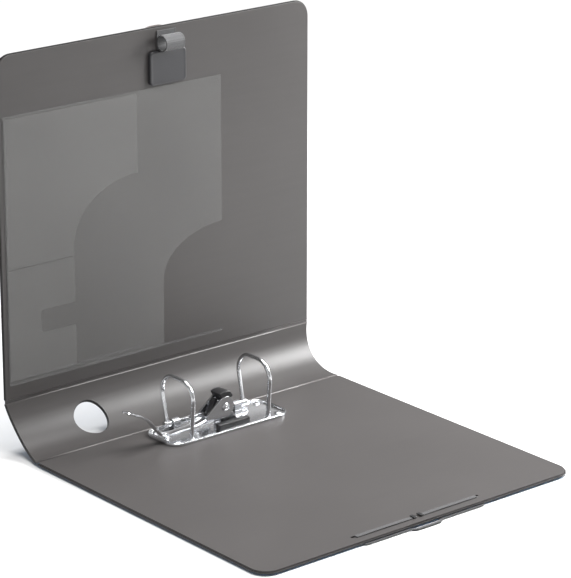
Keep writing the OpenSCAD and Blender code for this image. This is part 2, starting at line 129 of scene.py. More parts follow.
class FileSizes(bpy.types.PropertyGroup):
    rib_pitch: length_property(
        "Rib pitch", "Spacing of the fine ribs pressed into the outer sheet",
        1.45 * MM, 0.6 * MM, 4 * MM)
    rib_depth: length_property(
        "Rib depth", "Depth of the fine ribs",
        0.05 * MM, 0.0, 0.2 * MM)
    edge_round: length_property(
        "Edge rounding", "Rounding of the cut edges of the covers",
        0.3 * MM, 0.05 * MM, 0.45 * MM)
    groove_depth: length_property(
        "Crease groove depth", "Depth of the two grooves along each crease",
        0.62 * MM, 0.1 * MM, 0.85 * MM)
    coil_turns: bpy.props.FloatProperty(
        name="Spring turns", description="Turns of the return spring",
        default=6.5, min=3.0, max=9.0)
    weld_pitch: length_property(
        "Weld dash pitch", "Spacing of the dashes that weld a pocket to the cover",
        2.2 * MM, 1.2 * MM, 6 * MM)


class FileColours(bpy.types.PropertyGroup):
    outer: colour_property("Outer sheet", "Colour of the outer sheet", (0.074, 0.205, 0.390))
    lining: colour_property("Lining", "Colour of the inside lining", (0.058, 0.054, 0.053))
    film: colour_property("Pocket film", "Colour of the frosted pockets", (0.25, 0.248, 0.243))
    button: colour_property("Closure button", "Colour of the oval button", (0.085, 0.066, 0.060))
    pad: colour_property("Pen pad", "Colour of the pad that holds the pen loop", (0.026, 0.026, 0.029))
    ribbon: colour_property("Pen loop", "Colour of the woven pen loop", (0.052, 0.052, 0.055))


# ---------- trees of nodes ----------

class Socket:
    """A node's output that can be used in sums. Each sum adds its Math node."""

    def __init__(self, tree, socket):
        self.tree = tree
        self.socket = socket

    def math(self, operation, *values):
        return self.tree.node("ShaderNodeMath", {"operation": operation}, dict(enumerate(values)))

    def __add__(self, other):
        return self.math("ADD", self, other)

    __radd__ = __add__

    def __sub__(self, other):
        return self.math("SUBTRACT", self, other)

    def __rsub__(self, other):
        return self.math("SUBTRACT", other, self)

    def __mul__(self, other):
        return self.math("MULTIPLY", self, other)

    __rmul__ = __mul__

    def __pow__(self, other):
        return self.math("POWER", self, other)

    def wave(self, pitch):
        """A sine wave of one pitch in metres along this coordinate."""
        return self.math("SINE", self * (2 * math.pi / pitch))

    def size(self):
        return self.math("ABSOLUTE", self)

    def most(self, other):
        return self.math("MAXIMUM", self, other)

    def step(self, low, high):
        """0 below low and 1 above high, with a smooth change between them."""
        return self.tree.node(
            "ShaderNodeMapRange", {"interpolation_type": "SMOOTHSTEP"},
            {"Value": self, "From Min": low, "From Max": high})


class Tree:
    """A tree of nodes, all of which come from one method."""

    def __init__(self, tree):
        self.tree = tree

    def node(self, kind, settings=None, sockets=None, out=0):
        made = self.tree.nodes.new(kind)
        for key, value in (settings or {}).items():
            setattr(made, key, value)
        for key, value in (sockets or {}).items():
            if isinstance(value, Socket):
                self.tree.links.new(value.socket, made.inputs[key])
            else:
                made.inputs[key].default_value = value
        return Socket(self, made.outputs[out]) if len(made.outputs) else None


FINISHES = {}


class Finish(Tree):
    """A material for one of the file's finishes, in the object's own coordinates."""

    def __init__(self, name):
        self.material = bpy.data.materials.new("finish_" + name)
        FINISHES[name] = self.material
        self.material.use_nodes = True
        super().__init__(self.material.node_tree)
        self.tree.nodes.clear()
        self.place = self.node("ShaderNodeTexCoord", out="Object")

    def xyz(self):
        split = self.node("ShaderNodeSeparateXYZ", None, {0: self.place})
        outputs = split.socket.node.outputs
        return [Socket(self, outputs[i]) for i in range(3)]

    def stretched(self, x, y, z):
        return self.node("ShaderNodeMapping", None, {"Vector": self.place, "Scale": (x, y, z)})

    def noise(self, scale, detail=2.0, place=None, roughness=0.5):
        return self.node("ShaderNodeTexNoise", {"noise_dimensions": "3D"},
                         {"Vector": place or self.place, "Scale": scale, "Detail": detail,
                          "Roughness": roughness}, out="Fac")

    def mix(self, factor, first, second):
        return self.node("ShaderNodeMix", {"data_type": "RGBA"},
                         {0: factor, 6: first, 7: second}, out=2)

    def bump(self, height, distance, strength=1.0):
        return self.node("ShaderNodeBump", None,
                         {"Height": height, "Distance": distance, "Strength": strength})

    def surface(self, sockets):
        shader = self.node("ShaderNodeBsdfPrincipled", None, sockets)
        self.node("ShaderNodeOutputMaterial", None, {"Surface": shader})
        return self.material


def shade(colour, amount=1.0):
    """A colour with alpha, darkened or lightened by amount."""
    return tuple(min(1.0, c * amount) for c in colour[:3]) + (1.0,)


# ---------- finishes ----------

def outer_finish(name, sizes, colour):
    """Satin sheet with fine ribs that run in wide rings across the covers and the spine."""
    f = Finish(name)
    x, y, z = f.xyz()
    dx, dy, dz = x - 0.11, y - 0.47, z - 0.03
    ring = (dx * dx + dy * dy + dz * dz) ** 0.5
    drift = f.noise(6.0, 1.0) * 0.004
    rib = (ring + drift).wave(sizes.rib_pitch)
    cloud = f.noise(9.0, 3.0)
    grain = f.noise(2600.0, 1.0)
    scuff = f.noise(60.0, 4.0, f.stretched(1.0, 0.25, 1.0)).step(0.56, 0.75)
    tone = cloud * 0.45 + rib * 0.11 + 0.25
    base = f.mix(tone, shade(colour, 0.86), shade(colour, 1.20))
    return f.surface({
        "Base Color": base, "Roughness": cloud * 0.10 + scuff * 0.07 + 0.29,
        "Normal": f.bump(rib * 0.5 + grain * 0.25, sizes.rib_depth, 0.8)})


def lining_finish(name, colour):
    """Dark satin sheet with a fine leather-like grain and faint drawn lines."""
    f = Finish(name)
    fine = f.noise(1500.0, 2.0)
    drawn = f.noise(240.0, 2.0, f.stretched(1.0, 0.06, 1.0))
    cloud = f.noise(7.0, 3.0)
    tone = cloud * 0.5 + fine * 0.22 + drawn * 0.2 + 0.04
    base = f.mix(tone, shade(colour, 0.72), shade(colour, 1.25))
    return f.surface({
        "Base Color": base, "Roughness": cloud * 0.10 + drawn * 0.05 + 0.30,
        "Specular IOR Level": 0.4,
        "Normal": f.bump(fine * 0.6 + drawn * 0.4, 0.05 * MM, 0.55)})


def steel_finish(name, colour, rough, stretch):
    """Bright plated steel: smudged gloss and, where stretch is given, fine drawing lines."""
    f = Finish(name)
    smudge = f.noise(55.0, 4.0)
    line = f.noise(900.0, 2.0, f.stretched(*stretch))
    speck = f.noise(420.0, 2.0).step(0.66, 0.80)
    base = f.mix(smudge * 0.6 + speck * 0.3, shade(colour), shade(colour, 0.84))
    return f.surface({
        "Base Color": base, "Metallic": 1.0,
        "Roughness": smudge * 0.10 + line * 0.08 + rough,
        "Normal": f.bump(line, 0.004 * MM, 0.25)})


def plastic_finish(name, colour, rough):
    """Moulded plastic with a fine spark-eroded grain and worn, paler patches."""
    f = Finish(name)
    grain = f.noise(1900.0, 2.0)
    cloud = f.noise(28.0, 3.0)
    base = f.mix(cloud * 0.7 + grain * 0.2, shade(colour, 0.84), shade(colour, 1.30))
    return f.surface({
        "Base Color": base, "Roughness": cloud * 0.14 + grain * 0.05 + rough,
        "Normal": f.bump(grain, 0.05 * MM, 0.6)})


def elastic_finish():
    """Black elastic: covered rubber threads that run along the strip, crossed by a fine weave."""
    f = Finish("elastic")
    x, y, z = f.xyz()
    thread = x.wave(0.8 * MM)
    weave = y.wave(0.9 * MM)
    fuzz = f.noise(2200.0, 2.0)
    cloth = thread * 0.5 + thread * weave * 0.4 + fuzz * 0.4
    base = f.mix(cloth * 0.35 + 0.35, (0.010, 0.010, 0.011, 1.0), (0.050, 0.050, 0.054, 1.0))
    return f.surface({
        "Base Color": base, "Roughness": fuzz * 0.15 + 0.68, "Sheen Weight": 0.25,
        "Normal": f.bump(cloth, 0.10 * MM, 0.8)})


def ribbon_finish(colour):
    """Grey woven ribbon: ribs across its length and a fine warp along it."""
    f = Finish("ribbon")
    x, y, z = f.xyz()
    rib = (z + x).wave(1.1 * MM)
    warp = y.wave(0.7 * MM)
    fuzz = f.noise(1800.0, 2.0)
    edge = (y - PEN_LOOP_Y * MM).size().step(7.9 * MM, 8.3 * MM)
    cloth = rib * 0.45 + rib * warp * 0.35 + fuzz * 0.3
    base = f.mix(cloth * 0.4 + 0.35 - edge * 0.25, shade(colour, 0.60), shade(colour, 1.25))
    return f.surface({
        "Base Color": base, "Roughness": fuzz * 0.15 + 0.55, "Sheen Weight": 0.3,
        "Normal": f.bump(cloth + edge * 0.8, 0.12 * MM, 0.8)})


def film_finish(name, colour, cover, rough):
    """Frosted clear film: mostly seen through, with a soft haze."""
    f = Finish(name)
    haze = f.noise(10.0, 3.0)
    streak = f.noise(120.0, 2.0, f.stretched(1.0, 0.15, 1.0))
    base = f.mix(haze * 0.6 + streak * 0.3, shade(colour, 0.85), shade(colour, 1.15))
    return f.surface({
        "Base Color": base, "Roughness": haze * 0.12 + rough,
        "Alpha": haze * 0.10 + streak * 0.06 + cover,
        "Normal": f.bump(haze, 0.2 * MM, 0.2)})


def card_finish():
    """White card with a thin grey frame and four writing lines."""
    f = Finish("card")
    x, y, z = f.xyz()
    angle = math.radians(CHORD)
    across = ((x - FRONT_X / 2 * MM) * math.cos(angle)
              + (z - (CREASE_Z + FRONT_Z) / 2 * MM) * math.sin(angle)).size()
    low, high = CARD_Y[0] * MM, CARD_Y[1] * MM
    end = (y - (low + high) / 2).size()
    half = (high - low) / 2
    frame_line = (across - 13.2 * MM).most(end - (half - 2.8 * MM)).size().step(0.26 * MM, 0.16 * MM)
    lines = frame_line
    for share in (0.31, 0.44, 0.57, 0.715):
        rule = (y - (high - share * (high - low))).size().step(0.20 * MM, 0.12 * MM)
        lines = lines.most(rule * across.step(13.3 * MM, 13.1 * MM))
    fibre = f.noise(700.0, 3.0)
    paper = f.mix(fibre, (0.80, 0.80, 0.79, 1.0), (0.90, 0.90, 0.89, 1.0))
    base = f.mix(lines, paper, (0.26, 0.27, 0.29, 1.0))
    return f.surface({
        "Base Color": base, "Roughness": fibre * 0.2 + 0.55,
        "Normal": f.bump(fibre, 0.03 * MM, 0.5)})


def floor_finish():
    """Pale matt floor."""
    f = Finish("studio_floor")
    cloud = f.noise(3.0, 2.0)
    base = f.mix(cloud, (0.58, 0.58, 0.58, 1.0), (0.61, 0.61, 0.61, 1.0))
    return f.surface({"Base Color": base, "Roughness": cloud * 0.1 + 0.62})


def make_finishes(scene):
    """Every finish, kept in FINISHES under a plain name."""
    colours = scene.file_colours
    outer_finish("outer_sheet", scene.file_sizes, colours.outer)
    # The two lighter copies below, of the outer sheet and of the lining, are painted highlight for the
    # shoulders of the crease grooves.
    outer_finish("outer_fold", scene.file_sizes, shade(colours.outer, 1.7))
    lining_finish("lining", colours.lining)
    lining_finish("lining_fold", shade(colours.lining, 2.2))
    plastic_finish("core", (0.016, 0.015, 0.015), 0.36)
    elastic_finish()
    ribbon_finish(colours.ribbon)
    card_finish()
    steel_finish("plated_steel", (0.74, 0.75, 0.77), 0.09, (1.0, 0.05, 1.0))
    steel_finish("pressed_steel", (0.62, 0.63, 0.65), 0.17, (1.0, 0.04, 1.0))
    plastic_finish("black_plastic", (0.014, 0.014, 0.015), 0.26)
    plastic_finish("pad", colours.pad, 0.30)
    plastic_finish("button", colours.button, 0.24)
    film_finish("pocket_film", colours.film, 0.28, 0.42)
    film_finish("clear_film", (0.80, 0.82, 0.84), 0.06, 0.10)
    film_finish("welded_film", (0.24, 0.24, 0.24), 0.40, 0.30)


# ---------- making pieces ----------

def piece_from(name, mesh, slot, body=None, stands_for=(), materials=None):
    """Puts a finished mesh in the scene as a piece that rides on a body."""
    made = bpy.data.objects.new(name, mesh)
    bpy.context.scene.collection.objects.link(made)
    if not mesh.materials:
        for material in materials or (slot,):
            mesh.materials.append(FINISHES[material])
    if body:
        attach(made, body)
    if stands_for:
        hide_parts(*stands_for)
    return made


def mesh_from(name, points, faces):
    mesh = bpy.data.meshes.new(name)
    mesh.from_pydata([tuple(p) for p in points], [], faces)
    mesh.polygons.foreach_set("use_smooth", [True] * len(faces))
    return mesh


def baked(mesh, build):
    """The mesh after modifiers that build adds, as a plain mesh."""
    holder = bpy.data.objects.new("holder", mesh)
    bpy.context.scene.collection.objects.link(holder)
    build(holder)
    bpy.context.view_layer.update()
    graph = bpy.context.evaluated_depsgraph_get()
    result = bpy.data.meshes.new_from_object(holder.evaluated_get(graph), depsgraph=graph)
    holder.modifiers.clear()
    bpy.data.objects.remove(holder)
    return result


def even_shading(mesh, corner=45):
    """Smooth shading in which large flat faces stay flat."""
    mesh.polygons.foreach_set("use_smooth", [True] * len(mesh.polygons))
    mesh.set_sharp_from_angle(angle=math.radians(corner))

    def weigh(holder):
        weighted = holder.modifiers.new("weighted", "WEIGHTED_NORMAL")
        weighted.keep_sharp = True
        weighted.weight = 90

    return baked(mesh, weigh)


def softened(node, width, steps=2, corner=28):
    """A copy of a frame node with its facets joined and its sharp edges rounded."""
    bm = bmesh.new()
    bm.from_mesh(cad[node].data)
    bmesh.ops.remove_doubles(bm, verts=bm.verts, dist=2e-6)
    bmesh.ops.dissolve_limit(bm, angle_limit=math.radians(0.4), verts=bm.verts, edges=bm.edges)
    sharp = [e for e in bm.edges
             if len(e.link_faces) == 2 and e.calc_face_angle(0.0) > math.radians(corner)]
    bmesh.ops.bevel(bm, geom=sharp, offset=width * MM, offset_type="OFFSET", segments=steps,
                    profile=0.5, affect="EDGES", clamp_overlap=True)
    bmesh.ops.triangulate(bm, faces=[f for f in bm.faces if len(f.verts) > 4])
    bmesh.ops.recalc_face_normals(bm, faces=bm.faces)
    mesh = bpy.data.meshes.new(node)
    bm.to_mesh(mesh)
    bm.free()
    return even_shading(mesh)


def loft(name, rings, closed=False):
    """Skin over rings of equally many points; closed joins the last ring to the first."""
    n = len(rings[0])
    points = [p for ring in rings for p in ring]
    faces = []
    last = len(rings) if closed else len(rings) - 1
    for i in range(last):
        a, b = i * n, (i + 1) % len(rings) * n
        for j in range(n):
            k = (j + 1) % n
            faces.append((a + j, a + k, b + k, b + j))
    if not closed:
        faces.append(tuple(range(n - 1, -1, -1)))
        faces.append(tuple(range((len(rings) - 1) * n, len(rings) * n)))
    mesh = mesh_from(name, points, faces)
    bm = bmesh.new()
    bm.from_mesh(mesh)
    bmesh.ops.recalc_face_normals(bm, faces=bm.faces)
    bm.to_mesh(mesh)
    bm.free()
    return mesh


def lathe(name, profile, centre, axis="Z", steps=48):
    """Turns a profile of (radius, height) pairs, in millimetres, about an axis through centre."""
    rings = []
    for radius, height in profile:
        ring = []
        for i in range(steps):
            a = 2 * math.pi * i / steps
            u, v = radius * math.cos(a), radius * math.sin(a)
            offset = {"Z": (u, v, height), "Y": (u, height, v), "X": (height, u, v)}[axis]
            ring.append(mm(*centre) + mm(*offset))
        rings.append(ring)
    return loft(name, rings)


def joined(name, meshes):
    """Several meshes as one."""
    bm = bmesh.new()
    for mesh in meshes:
        bm.from_mesh(mesh)
    result = bpy.data.meshes.new(name)
    bm.to_mesh(result)
    bm.free()
    return result


def rounded_ring(x0, y0, x1, y1, radius, z, steps=10):
    """A rounded rectangle as a ring of points, anticlockwise, in millimetres."""
    ring = []
    corners = ((x1 - radius, y0 + radius, -90), (x1 - radius, y1 - radius, 0),
               (x0 + radius, y1 - radius, 90), (x0 + radius, y0 + radius, 180))
    for cx, cy, start in corners:
        for i in range(steps + 1):
            a = math.radians(start + 90 * i / steps)
            ring.append((cx + radius * math.cos(a), cy + radius * math.sin(a), z))
    return ring


# ---------- geometry trees ----------

def new_tree(name, inputs):
    """An empty geometry tree with named inputs, and the sockets of those inputs."""
    group = bpy.data.node_groups.new(name, "GeometryNodeTree")
    group.interface.new_socket("Geometry", in_out="OUTPUT", socket_type="NodeSocketGeometry")
    group.interface.new_socket("Geometry", in_out="INPUT", socket_type="NodeSocketGeometry")
    for title, kind, value in inputs:
        item = group.interface.new_socket(title, in_out="INPUT", socket_type="NodeSocket" + kind)
        if value is not None:
            item.default_value = value
    tree = Tree(group)
    ports = tree.node("NodeGroupInput").socket.node.outputs
    return tree, {p.name: Socket(tree, p) for p in ports if p.name}


def end_tree(tree, geometry, material):
    """Realizes instances, gives the material and closes the tree."""
    real = tree.node("GeometryNodeRealizeInstances", None, {"Geometry": geometry})
    done = tree.node("GeometryNodeSetMaterial", None, {"Geometry": real, "Material": material})
    tree.node("NodeGroupOutput", None, {"Geometry": done})
    return tree.tree


def bent_wire_tree():
    """Round wire along the edges of a mesh, with a bend of one radius at every corner."""
    tree, given = new_tree("Bent wire", (
        ("Wire Radius", "Float", 1.7 * MM), ("Bend Radius", "Float", 5 * MM),
        ("Bend Steps", "Int", 24), ("Round Steps", "Int", 24), ("Material", "Material", None)))
    curve = tree.node("GeometryNodeMeshToCurve", None, {"Mesh": given["Geometry"]})
    bent = tree.node("GeometryNodeFilletCurve", {"mode": "POLY"}, {
        "Curve": curve, "Count": given["Bend Steps"], "Radius": given["Bend Radius"]})
    circle = tree.node("GeometryNodeCurvePrimitiveCircle", {"mode": "RADIUS"}, {
        "Resolution": given["Round Steps"], "Radius": given["Wire Radius"]})
    wire = tree.node("GeometryNodeCurveToMesh", None, {
        "Curve": bent, "Profile Curve": circle, "Fill Caps": True})
    smooth = tree.node("GeometryNodeSetShadeSmooth", None, {"Geometry": wire})
    return end_tree(tree, smooth, given["Material"])


def coil_tree():
    """A helical spring about the Y axis through a centre."""
    tree, given = new_tree("Coil spring", (
        ("Wire Radius", "Float", 0.5 * MM), ("Coil Radius", "Float", 2.9 * MM),
        ("Turns", "Float", 6.0), ("Length", "Float", 6 * MM), ("Centre", "Vector", (0, 0, 0)),
        ("Material", "Material", None)))
    spiral = tree.node("GeometryNodeCurveSpiral", None, {
        "Resolution": 40, "Rotations": given["Turns"], "Start Radius": given["Coil Radius"],
        "End Radius": given["Coil Radius"], "Height": given["Length"]})
    placed = tree.node("GeometryNodeTransform", None, {
        "Geometry": spiral, "Rotation": (-math.pi / 2, 0.0, 0.0), "Translation": given["Centre"]})
    circle = tree.node("GeometryNodeCurvePrimitiveCircle", {"mode": "RADIUS"}, {
        "Resolution": 12, "Radius": given["Wire Radius"]})
    wire = tree.node("GeometryNodeCurveToMesh", None, {
        "Curve": placed, "Profile Curve": circle, "Fill Caps": True})
    smooth = tree.node("GeometryNodeSetShadeSmooth", None, {"Geometry": wire})
    return end_tree(tree, smooth, given["Material"])


def rivet_grid_tree():
    """The rivet that is given, repeated on a grid of columns and rows."""
    tree, given = new_tree("Rivets on a grid", (
        ("Spacing Across", "Float", 28 * MM), ("Spacing Along", "Float", 106 * MM),
        ("Columns", "Int", 2), ("Rows", "Int", 2), ("Centre", "Vector", (0, 0, 0)),
        ("Material", "Material", None)))
    across = given["Spacing Across"] * (given["Columns"] - 1)
    along = given["Spacing Along"] * (given["Rows"] - 1)
    grid = tree.node("GeometryNodeMeshGrid", None, {
        "Size X": across, "Size Y": along,
        "Vertices X": given["Columns"], "Vertices Y": given["Rows"]})
    placed = tree.node("GeometryNodeTransform", None, {
        "Geometry": grid, "Translation": given["Centre"]})
    rivets = tree.node("GeometryNodeInstanceOnPoints", None, {
        "Points": placed, "Instance": given["Geometry"]})
    return end_tree(tree, rivets, given["Material"])


def weld_tree():
    """Flat weld dashes along the edges of a mesh, turned to follow them."""
    tree, given = new_tree("Weld dashes", (
        ("Pitch", "Float", 2.2 * MM), ("Dash Length", "Float", 1.5 * MM),
        ("Dash Width", "Float", 0.6 * MM), ("Dash Height", "Float", 0.12 * MM),
        ("Material", "Material", None)))
    curve = tree.node("GeometryNodeMeshToCurve", None, {"Mesh": given["Geometry"]})
    spread = tree.node("GeometryNodeCurveToPoints", {"mode": "LENGTH"}, {
        "Curve": curve, "Length": given["Pitch"]})
    tangent = Socket(tree, spread.socket.node.outputs["Tangent"])
    turn = tree.node("FunctionNodeAlignEulerToVector", {"axis": "Z"}, {"Vector": tangent})
    size = tree.node("ShaderNodeCombineXYZ", None, {
        0: given["Dash Height"], 1: given["Dash Width"], 2: given["Dash Length"]})
    dash = tree.node("GeometryNodeMeshCube", None, {"Size": size})
    dashes = tree.node("GeometryNodeInstanceOnPoints", None, {
        "Points": spread, "Instance": dash, "Rotation": turn})
    return end_tree(tree, dashes, given["Material"])


def grown(name, source, group, values):
    """The plain mesh that a geometry tree makes from a source mesh and values by input name."""
    def build(holder):
        modifier = holder.modifiers.new(name, "NODES")
        modifier.node_group = group
        for item in group.interface.items_tree:
            if item.in_out == "INPUT" and item.name in values:
                modifier[item.identifier] = values[item.name]

    return baked(source, build)


def path_mesh(name, paths):
    """Open polylines as loose edges."""
    points, edges = [], []
    for path in paths:
        first = len(points)
        points += [tuple(p) for p in path]
        edges += [(first + i, first + i + 1) for i in range(len(path) - 1)]
    mesh = bpy.data.meshes.new(name)
    mesh.from_pydata(points, edges, [])
    return mesh


def wire(name, paths, radius, bend, material="plated_steel"):
    return grown(name, path_mesh(name, paths), bpy.data.node_groups["Bent wire"], {
        "Wire Radius": radius * MM, "Bend Radius": bend * MM, "Bend Steps": 28,
        "Round Steps": 28, "Material": FINISHES[material]})


def strip(name, path, widths, thick, steps=14):
    """A band with an oval section along a path, widths in millimetres at each point of it."""
    rings = []
    up = Vector((0, 0, 1))
    for i, point in enumerate(path):
        ahead = path[min(i + 1, len(path) - 1)] - path[max(i - 1, 0)]
        side = ahead.cross(up).normalized()
        ring = []
        for j in range(steps):
            a = 2 * math.pi * j / steps
            c, s = math.cos(a), math.sin(a)
            across = math.copysign(abs(c) ** 0.5, c) * widths[i] / 2
            height = math.copysign(abs(s) ** 0.7, s) * thick / 2
            ring.append(point + side * across * MM + up * height * MM)
        rings.append(ring)
    return loft(name, rings)


def curve_through(points, steps=8):
    """A smooth path through points (Catmull-Rom)."""
    path = []
    ends = [points[0] * 2 - points[1]] + list(points) + [points[-1] * 2 - points[-2]]
    for i in range(1, len(ends) - 2):
        a, b, c, d = ends[i - 1:i + 3]
        for k in range(steps):
            t = k / steps
            path.append(0.5 * (2 * b + (c - a) * t + (2 * a - 5 * b + 4 * c - d) * t * t
                               + (3 * b - a - 3 * c + d) * t * t * t))
    path.append(points[-1])
    return path


# ---------- one operator for each group of pieces ----------

def outer_sheet(name, mesh, body, node, outwards):
    """A piece with the ribbed finish on its outside, and the sheet's dark core on its cut edges."""
    mesh.polygons.foreach_set("material_index", [
        0 if p.normal.dot(outwards(p.center)) > 0.6 else 1 for p in mesh.polygons])
    return piece_from(name, mesh, "outer_sheet", body, (node,), ("outer_sheet", "core"))


class LEVER_FILE_OT_covers(bpy.types.Operator):
    """Make the two covers: a ribbed outer sheet and a grained lining each"""
    bl_idname = "lever_file.covers"
    bl_label = "Covers"

    def execute(self, context):
        width = context.scene.file_sizes.edge_round / MM
        for side, outwards in (("back", Vector((0, 0, -1))), ("front", Vector((-1, 0, 0)))):
            body = side + "_cover"
            outer_sheet(side + "_outer_sheet", softened(side + "_skin", width, 3), body,
                        side + "_skin", lambda centre, o=outwards: o)
            piece_from(side + "_lining", softened(side + "_liner", width, 3), "lining",
                       body, (side + "_liner",))
        return {"FINISHED"}


class LEVER_FILE_OT_spine(bpy.types.Operator):
    """Make the curved spine and the grooved strips at its two creases"""
    bl_idname = "lever_file.spine"
    bl_label = "Spine and creases"

    def execute(self, context):
        sizes = context.scene.file_sizes
        width = sizes.edge_round / MM
        outer_sheet("spine_outer_sheet", softened("spine_skin", width, 2), "spine", "spine_skin",
                    lambda centre: Vector((centre.x, 0, centre.z - SPINE_AXIS_Z * MM)).normalized())
        piece_from("spine_lining", softened("spine_liner", width, 2), "lining",
                   "spine", ("spine_liner",))
        tilt = math.radians(92)
        self.crease(sizes, "back_crease_strip", (0.0, CREASE_Z), (1.0, 0.0), (0.0, 1.0),
                    "back_cover", "spine", "back_crease")
        self.crease(sizes, "front_crease_strip", (FRONT_X, FRONT_Z),
                    (-math.cos(tilt), -math.sin(tilt)), (math.sin(tilt), -math.cos(tilt)),
                    "spine", "front_cover", "front_crease")
        return {"FINISHED"}

    def crease(self, sizes, name, centre, towards, inward, first, second, node):
        """A straight strip with two grooves across a crease. The first and second panels are not used."""
        reach, steps, rows = 2.25, 44, 6
        depth = sizes.groove_depth / MM
        section = []
        for side in (1, -1):
            for i in range(steps + 1):
                t = reach * (1 - 2 * i / steps) * side
                share = min(1.0, max(0.0, (abs(t) - 0.95) / 0.85))
                h = (1.0 - depth * (1 - share * share * (3 - 2 * share))) * side
                section.append((centre[0] + towards[0] * t + inward[0] * h,
                                centre[1] + towards[1] * t + inward[1] * h))
        n = len(section)
        rings = []
        for r in range(rows + 1):
            y = 0.6 + (FILE_H - 1.2) * r / rows
            rings.append([mm(x, y, z) for x, z in section])
        mesh = loft(name, rings)
        across = Vector((towards[0], 0, towards[1]))
        middle = mm(centre[0], 0, centre[1])
        finishes = []
        for p in mesh.polygons:
            t = abs((p.center - middle).dot(across)) / MM
            outside = p.index < rows * n and p.index % n > steps
            # Faces on the shoulders of the grooves get the lighter copies of the lining and the outer
            # sheet: painted highlight along the groove edges.
            pale = 1.15 < t < 1.7
            finishes.append((3 if pale else 1) if outside else (2 if pale else 0))
        mesh.polygons.foreach_set("material_index", finishes)
        made = piece_from(name, mesh, "crease", None, (node,),
                          ("lining", "outer_sheet", "lining_fold", "outer_fold"))
        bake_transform(made)


class LEVER_FILE_OT_plate(bpy.types.Operator):
    """Make the rolled base plate with its rivets, posts and shaft bearings"""
    bl_idname = "lever_file.plate"
    bl_label = "Base plate"

    def execute(self, context):
        low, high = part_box("base_plate")
        x0, y0, x1, y1 = low.x / MM, low.y / MM, high.x / MM, high.y / MM
        top = high.z / MM
        profile = (
            (0.15, LINING_Z + 0.02), (0.0, LINING_Z + 0.25), (0.0, top - 0.9), (0.1, top - 0.5),
            (0.32, top - 0.2), (0.62, top - 0.04), (0.85, top), (1.15, top - 0.1),
            (1.4, top - 0.35), (1.54, top - 0.7), (1.6, top - 1.1), (1.68, PLATE_TOP + 0.22),
            (1.9, PLATE_TOP + 0.06), (2.3, PLATE_TOP), (4.2, PLATE_TOP), (4.7, PLATE_TOP + 0.25),
            (5.2, PLATE_TOP + 0.32), (5.7, PLATE_TOP + 0.25), (6.2, PLATE_TOP))
        rings = [[mm(*p) for p in rounded_ring(x0 + i, y0 + i, x1 - i, y1 - i, 12 - i, z, 12)]
                 for i, z in profile]
        piece_from("rolled_plate", even_shading(loft("rolled_plate", rings), 60), "plated_steel",
                   "back_cover", ("base_plate",))
        self.rivets()
        for name, y in zip(("post_foot", "post_head"), RING_Y):
            path = [mm(POST_X, y, PLATE_TOP - 0.1), on_post(y, POST_TOP)]
            flange = lathe(name, ((0.3, 0.02), (2.95, 0.02), (3.0, 0.15), (2.95, 0.6), (2.6, 0.95),
                                  (2.2, 1.15), (1.98, 1.6), (1.5, 1.7)), (POST_X, y, PLATE_TOP))
            shape = joined(name, [wire(name, [path], 1.9, 1.0), even_shading(flange, 50)])
            piece_from("ring_" + name, shape, "plated_steel", "back_cover", (name,))
        for name in ("bearing_foot", "bearing_head"):
            piece_from("shaft_" + name, softened(name, 0.45, 3), "pressed_steel", "back_cover",
                       (name,))
        return {"FINISHED"}

    def rivets(self):
        low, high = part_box("plate_rivets")
        rivet = lathe("rivet", (
            (0.4, 0.0), (3.6, 0.0), (3.9, 0.12), (4.0, 0.35), (4.0, 0.75), (3.85, 0.94),
            (1.55, 0.98), (1.55, PLATE_TOP - 0.1), (3.05, PLATE_TOP + 0.02), (3.15, PLATE_TOP + 0.2),
            (2.95, PLATE_TOP + 0.6), (2.4, PLATE_TOP + 0.95), (1.5, PLATE_TOP + 1.18),
            (0.5, PLATE_TOP + 1.25)), (0, 0, 0), "Z", 32)
        across = high.x - low.x - 8 * MM
        along = high.y - low.y - 8 * MM
        centre = ((low.x + high.x) / 2, (low.y + high.y) / 2, 0.0)
        shape = grown("rivets", rivet, rivet_grid_tree(), {
            "Spacing Across": across, "Spacing Along": along, "Columns": 2, "Rows": 2,
            "Centre": centre, "Material": FINISHES["pressed_steel"]})
        piece_from("cover_rivets", even_shading(shape, 50), "pressed_steel", "back_cover",
                   ("plate_rivets",))


class LEVER_FILE_OT_arches(bpy.types.Operator):
    """Make the arch shaft with its crank and the two arches"""
    bl_idname = "lever_file.arches"
    bl_label = "Arches"

    def execute(self, context):
        rise = CROWN_Z - SHAFT_Z
        foot_x = SHAFT_X + 2.0 * -math.sin(LEG_LEAN)
        for name, y in zip(("arch_foot", "arch_head"), RING_Y):
            path = [mm(foot_x, y, SHAFT_Z + 2.0 * math.cos(LEG_LEAN)),
                    mm(SHAFT_X - rise * math.tan(LEG_LEAN), y, CROWN_Z),
                    on_post(y, CROWN_Z), on_post(y, POST_TOP + 0.15)]
            ring = wire(name, [path], WIRE_R, ARCH_BEND)
            boss = lathe(name, ((2.0, -3.1), (2.6, -3.1), (2.85, -2.85), (2.95, -2.4), (2.95, 2.4),
                                (2.85, 2.85), (2.6, 3.1), (2.0, 3.1)), (SHAFT_X, y, SHAFT_Z), "Y")
            shape = joined(name, [ring, even_shading(boss, 50)])
            piece_from("ring_" + name, shape, "plated_steel", "arches", (name,))
        low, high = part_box("arch_shaft")
        shaft = lathe("shaft", ((1.5, low.y / MM), (1.9, low.y / MM + 0.1), (2.0, low.y / MM + 0.4),
                                (2.0, high.y / MM - 0.4), (1.9, high.y / MM - 0.1),
                                (1.5, high.y / MM)), (SHAFT_X, 0, SHAFT_Z), "Y")
        crank = wire("crank", [[mm(SHAFT_X, CRANK_Y, SHAFT_Z), mm(CRANK_X, CRANK_Y, CRANK_Z),
                                mm(CRANK_X, CRANK_Y + 13.4, CRANK_Z)]], 1.65, 2.6)
        piece_from("crank_shaft", joined("crank_shaft", [even_shading(shaft, 50), crank]),
                   "plated_steel", "arches", ("arch_shaft",))
        return {"FINISHED"}


